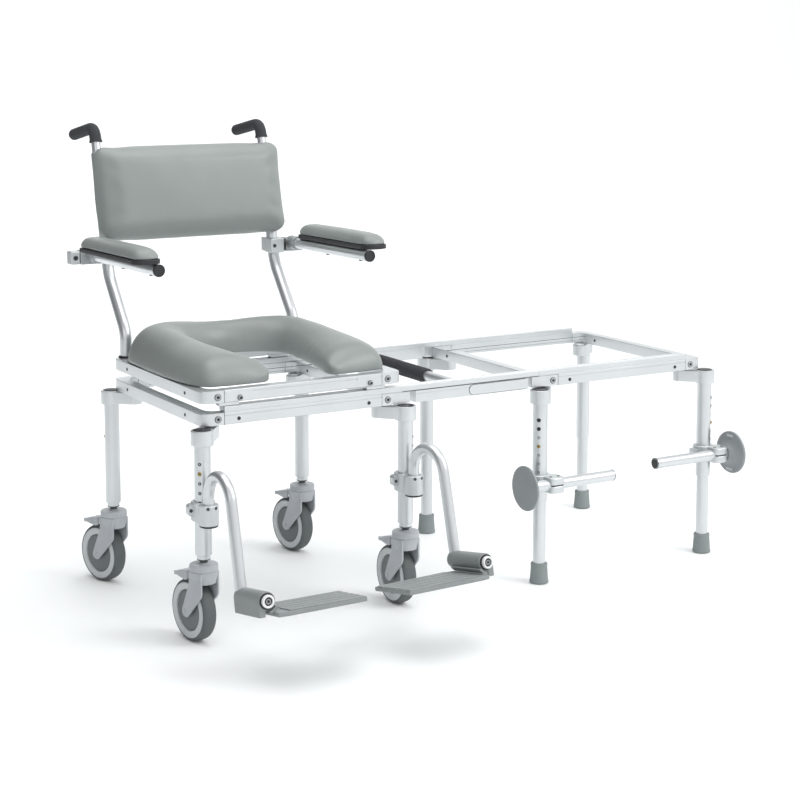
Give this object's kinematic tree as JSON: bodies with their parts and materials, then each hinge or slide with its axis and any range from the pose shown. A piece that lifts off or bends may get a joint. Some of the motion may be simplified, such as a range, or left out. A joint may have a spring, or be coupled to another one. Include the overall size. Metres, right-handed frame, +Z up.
{
  "type": "sliding bath transfer bench",
  "caption": "Wheeled commode chair whose cushioned seat slides on tracks over a bridge to a base that stands in the bathtub, with armrests, push handles and swing-away footrests.",
  "frame": {"origin": "on the floor, under the middle of the whole bench's bounding box in its docked rest pose", "axes": "+X runs along the bench from the chair to the tub base, +Y points behind the seated user, +Z up"},
  "size_m": [1.388, 1.0774, 1.0034],
  "materials": {
    "aluminium": "satin anodised",
    "vinyl": "smooth grey upholstery vinyl",
    "caster_plastic": "satin blue-grey",
    "wheel": "matt grey tread",
    "rubber": "matt grey",
    "plate_plastic": "matt grey",
    "foam": "matt black foam"
  },
  "bodies": {
    "chair_base": {"chair_end_left": "aluminium", "chair_end_right": "aluminium", "chair_rail_front": "aluminium", "chair_rail_rear": "aluminium", "chair_leg_post_front_left": "aluminium", "chair_leg_post_front_right": "aluminium", "chair_leg_post_rear_left": "aluminium", "chair_leg_post_rear_right": "aluminium", "footrest_clamp_left": "aluminium", "footrest_clamp_right": "aluminium"},
    "tub_side": {"tub_end_left": "aluminium", "tub_end_right": "aluminium", "tub_rail_front": "aluminium", "tub_rail_rear": "aluminium", "bridge_frame": "aluminium", "bridge_grip": "foam", "tub_leg_post_front_left": "aluminium", "tub_leg_post_front_right": "aluminium", "tub_leg_post_rear_left": "aluminium", "tub_leg_post_rear_right": "aluminium", "bath_clamp_left": "aluminium", "bath_clamp_right": "aluminium"},
    "chair_leg_front_left": {"chair_leg_tube_front_left": "aluminium"},
    "caster_front_left": {"caster_fork_front_left": "caster_plastic"},
    "wheel_front_left": {"caster_wheel_front_left": "wheel"},
    "pedal_front_left": {"caster_pedal_front_left": "caster_plastic"},
    "chair_leg_front_right": {"chair_leg_tube_front_right": "aluminium"},
    "caster_front_right": {"caster_fork_front_right": "caster_plastic"},
    "wheel_front_right": {"caster_wheel_front_right": "wheel"},
    "pedal_front_right": {"caster_pedal_front_right": "caster_plastic"},
    "chair_leg_rear_left": {"chair_leg_tube_rear_left": "aluminium"},
    "caster_rear_left": {"caster_fork_rear_left": "caster_plastic"},
    "wheel_rear_left": {"caster_wheel_rear_left": "wheel"},
    "pedal_rear_left": {"caster_pedal_rear_left": "caster_plastic"},
    "chair_leg_rear_right": {"chair_leg_tube_rear_right": "aluminium"},
    "caster_rear_right": {"caster_fork_rear_right": "caster_plastic"},
    "wheel_rear_right": {"caster_wheel_rear_right": "wheel"},
    "pedal_rear_right": {"caster_pedal_rear_right": "caster_plastic"},
    "tub_leg_front_left": {"tub_leg_tube_front_left": "aluminium", "tub_leg_tip_front_left": "rubber"},
    "tub_leg_front_right": {"tub_leg_tube_front_right": "aluminium", "tub_leg_tip_front_right": "rubber"},
    "tub_leg_rear_left": {"tub_leg_tube_rear_left": "aluminium", "tub_leg_tip_rear_left": "rubber"},
    "tub_leg_rear_right": {"tub_leg_tube_rear_right": "aluminium", "tub_leg_tip_rear_right": "rubber"},
    "seat": {"seat_frame": "aluminium", "seat_cushion": "vinyl", "back_frame": "aluminium", "back_cushion": "vinyl"},
    "armrest_left": {"arm_left": "aluminium", "arm_pad_left": "vinyl"},
    "armrest_right": {"arm_right": "aluminium", "arm_pad_right": "vinyl"},
    "hanger_left": {"footrest_hanger_left": "aluminium"},
    "footrest_left": {"footplate_left": "plate_plastic"},
    "hanger_right": {"footrest_hanger_right": "aluminium"},
    "footrest_right": {"footplate_right": "plate_plastic"},
    "bath_pad_left": {"bath_rod_left": "aluminium"},
    "bath_pad_right": {"bath_rod_right": "aluminium"}
  },
  "joints": [
    {"name": "undock", "type": "slide", "parent": "chair_base", "child": "tub_side", "axis": [1, 0, 0], "range_m": [0, 0.3]},
    {"name": "chair_leg_height_front_left", "type": "slide", "parent": "chair_base", "child": "chair_leg_front_left", "axis": [0, 0, 1], "range_m": [-0.077, 0]},
    {"name": "swivel_front_left", "type": "hinge", "parent": "chair_leg_front_left", "child": "caster_front_left", "pos_m": [-0.63, -0.2176, 0.16], "axis": [0, 0, 1], "continuous": true},
    {"name": "wheel_spin_front_left", "type": "hinge", "parent": "caster_front_left", "child": "wheel_front_left", "pos_m": [-0.63529, -0.17997, 0.0625], "axis": [0.9903, 0.1392, 0], "continuous": true},
    {"name": "brake_pedal_front_left", "type": "hinge", "parent": "caster_front_left", "child": "pedal_front_left", "pos_m": [-0.63431, -0.1869, 0.137], "axis": [-0.9903, -0.1392, 0], "range_deg": [0, 12]},
    {"name": "chair_leg_height_front_right", "type": "slide", "parent": "chair_base", "child": "chair_leg_front_right", "axis": [0, 0, 1], "range_m": [-0.077, 0]},
    {"name": "swivel_front_right", "type": "hinge", "parent": "chair_leg_front_right", "child": "caster_front_right", "pos_m": [-0.167, -0.2146, 0.16], "axis": [0, 0, 1], "continuous": true},
    {"name": "wheel_spin_front_right", "type": "hinge", "parent": "caster_front_right", "child": "wheel_front_right", "pos_m": [-0.167, -0.1766, 0.0625], "axis": [1, 0, 0], "continuous": true},
    {"name": "brake_pedal_front_right", "type": "hinge", "parent": "caster_front_right", "child": "pedal_front_right", "pos_m": [-0.167, -0.1836, 0.137], "axis": [-1, 0, 0], "range_deg": [0, 12]},
    {"name": "chair_leg_height_rear_left", "type": "slide", "parent": "chair_base", "child": "chair_leg_rear_left", "axis": [0, 0, 1], "range_m": [-0.077, 0]},
    {"name": "swivel_rear_left", "type": "hinge", "parent": "chair_leg_rear_left", "child": "caster_rear_left", "pos_m": [-0.63, 0.2584, 0.16], "axis": [0, 0, 1], "continuous": true},
    {"name": "wheel_spin_rear_left", "type": "hinge", "parent": "caster_rear_left", "child": "wheel_rear_left", "pos_m": [-0.64111, 0.29474, 0.0625], "axis": [0.9563, 0.2924, 0], "continuous": true},
    {"name": "brake_pedal_rear_left", "type": "hinge", "parent": "caster_rear_left", "child": "pedal_rear_left", "pos_m": [-0.63906, 0.28804, 0.137], "axis": [-0.9563, -0.2924, 0], "range_deg": [0, 12]},
    {"name": "chair_leg_height_rear_right", "type": "slide", "parent": "chair_base", "child": "chair_leg_rear_right", "axis": [0, 0, 1], "range_m": [-0.077, 0]},
    {"name": "swivel_rear_right", "type": "hinge", "parent": "chair_leg_rear_right", "child": "caster_rear_right", "pos_m": [-0.167, 0.2554, 0.16], "axis": [0, 0, 1], "continuous": true},
    {"name": "wheel_spin_rear_right", "type": "hinge", "parent": "caster_rear_right", "child": "wheel_rear_right", "pos_m": [-0.1736, 0.29282, 0.0625], "axis": [0.9848, 0.1736, 0], "continuous": true},
    {"name": "brake_pedal_rear_right", "type": "hinge", "parent": "caster_rear_right", "child": "pedal_rear_right", "pos_m": [-0.17238, 0.28593, 0.137], "axis": [-0.9848, -0.1736, 0], "range_deg": [0, 12]},
    {"name": "tub_leg_height_front_left", "type": "slide", "parent": "tub_side", "child": "tub_leg_front_left", "axis": [0, 0, 1], "range_m": [-0.058, 0.058]},
    {"name": "tub_leg_height_front_right", "type": "slide", "parent": "tub_side", "child": "tub_leg_front_right", "axis": [0, 0, 1], "range_m": [-0.058, 0.058]},
    {"name": "tub_leg_height_rear_left", "type": "slide", "parent": "tub_side", "child": "tub_leg_rear_left", "axis": [0, 0, 1], "range_m": [-0.058, 0.058]},
    {"name": "tub_leg_height_rear_right", "type": "slide", "parent": "tub_side", "child": "tub_leg_rear_right", "axis": [0, 0, 1], "range_m": [-0.058, 0.058]},
    {"name": "seat_slide", "type": "slide", "parent": "chair_base", "child": "seat", "axis": [1, 0, 0], "range_m": [0, 0.803]},
    {"name": "armrest_flip_left", "type": "hinge", "parent": "seat", "child": "armrest_left", "pos_m": [-0.629, 0.3324, 0.716], "axis": [-1, 0, 0], "range_deg": [0, 95]},
    {"name": "armrest_flip_right", "type": "hinge", "parent": "seat", "child": "armrest_right", "pos_m": [-0.172, 0.3324, 0.716], "axis": [-1, 0, 0], "range_deg": [0, 95]},
    {"name": "hanger_swing_left", "type": "hinge", "parent": "chair_base", "child": "hanger_left", "pos_m": [-0.63543, -0.25622, 0.25], "axis": [0, 0, -1], "range_deg": [-2, 78]},
    {"name": "footplate_flip_left", "type": "hinge", "parent": "hanger_left", "child": "footrest_left", "pos_m": [-0.63343, -0.40122, 0.1476], "axis": [0, -0.9848, 0.1736], "range_deg": [0, 90]},
    {"name": "hanger_swing_right", "type": "hinge", "parent": "chair_base", "child": "hanger_right", "pos_m": [-0.16972, -0.2535, 0.25], "axis": [0, 0, 1], "range_deg": [-4.5, 75]},
    {"name": "footplate_flip_right", "type": "hinge", "parent": "hanger_right", "child": "footrest_right", "pos_m": [-0.16034, -0.39821, 0.1476], "axis": [-0.0773, 0.9818, -0.1736], "range_deg": [0, 90]},
    {"name": "bath_pad_slide_left", "type": "slide", "parent": "tub_side", "child": "bath_pad_left", "axis": [-1, 0, 0], "range_m": [-0.018, 0.12]},
    {"name": "bath_pad_slide_right", "type": "slide", "parent": "tub_side", "child": "bath_pad_right", "axis": [1, 0, 0], "range_m": [0, 0.12]}
  ]
}
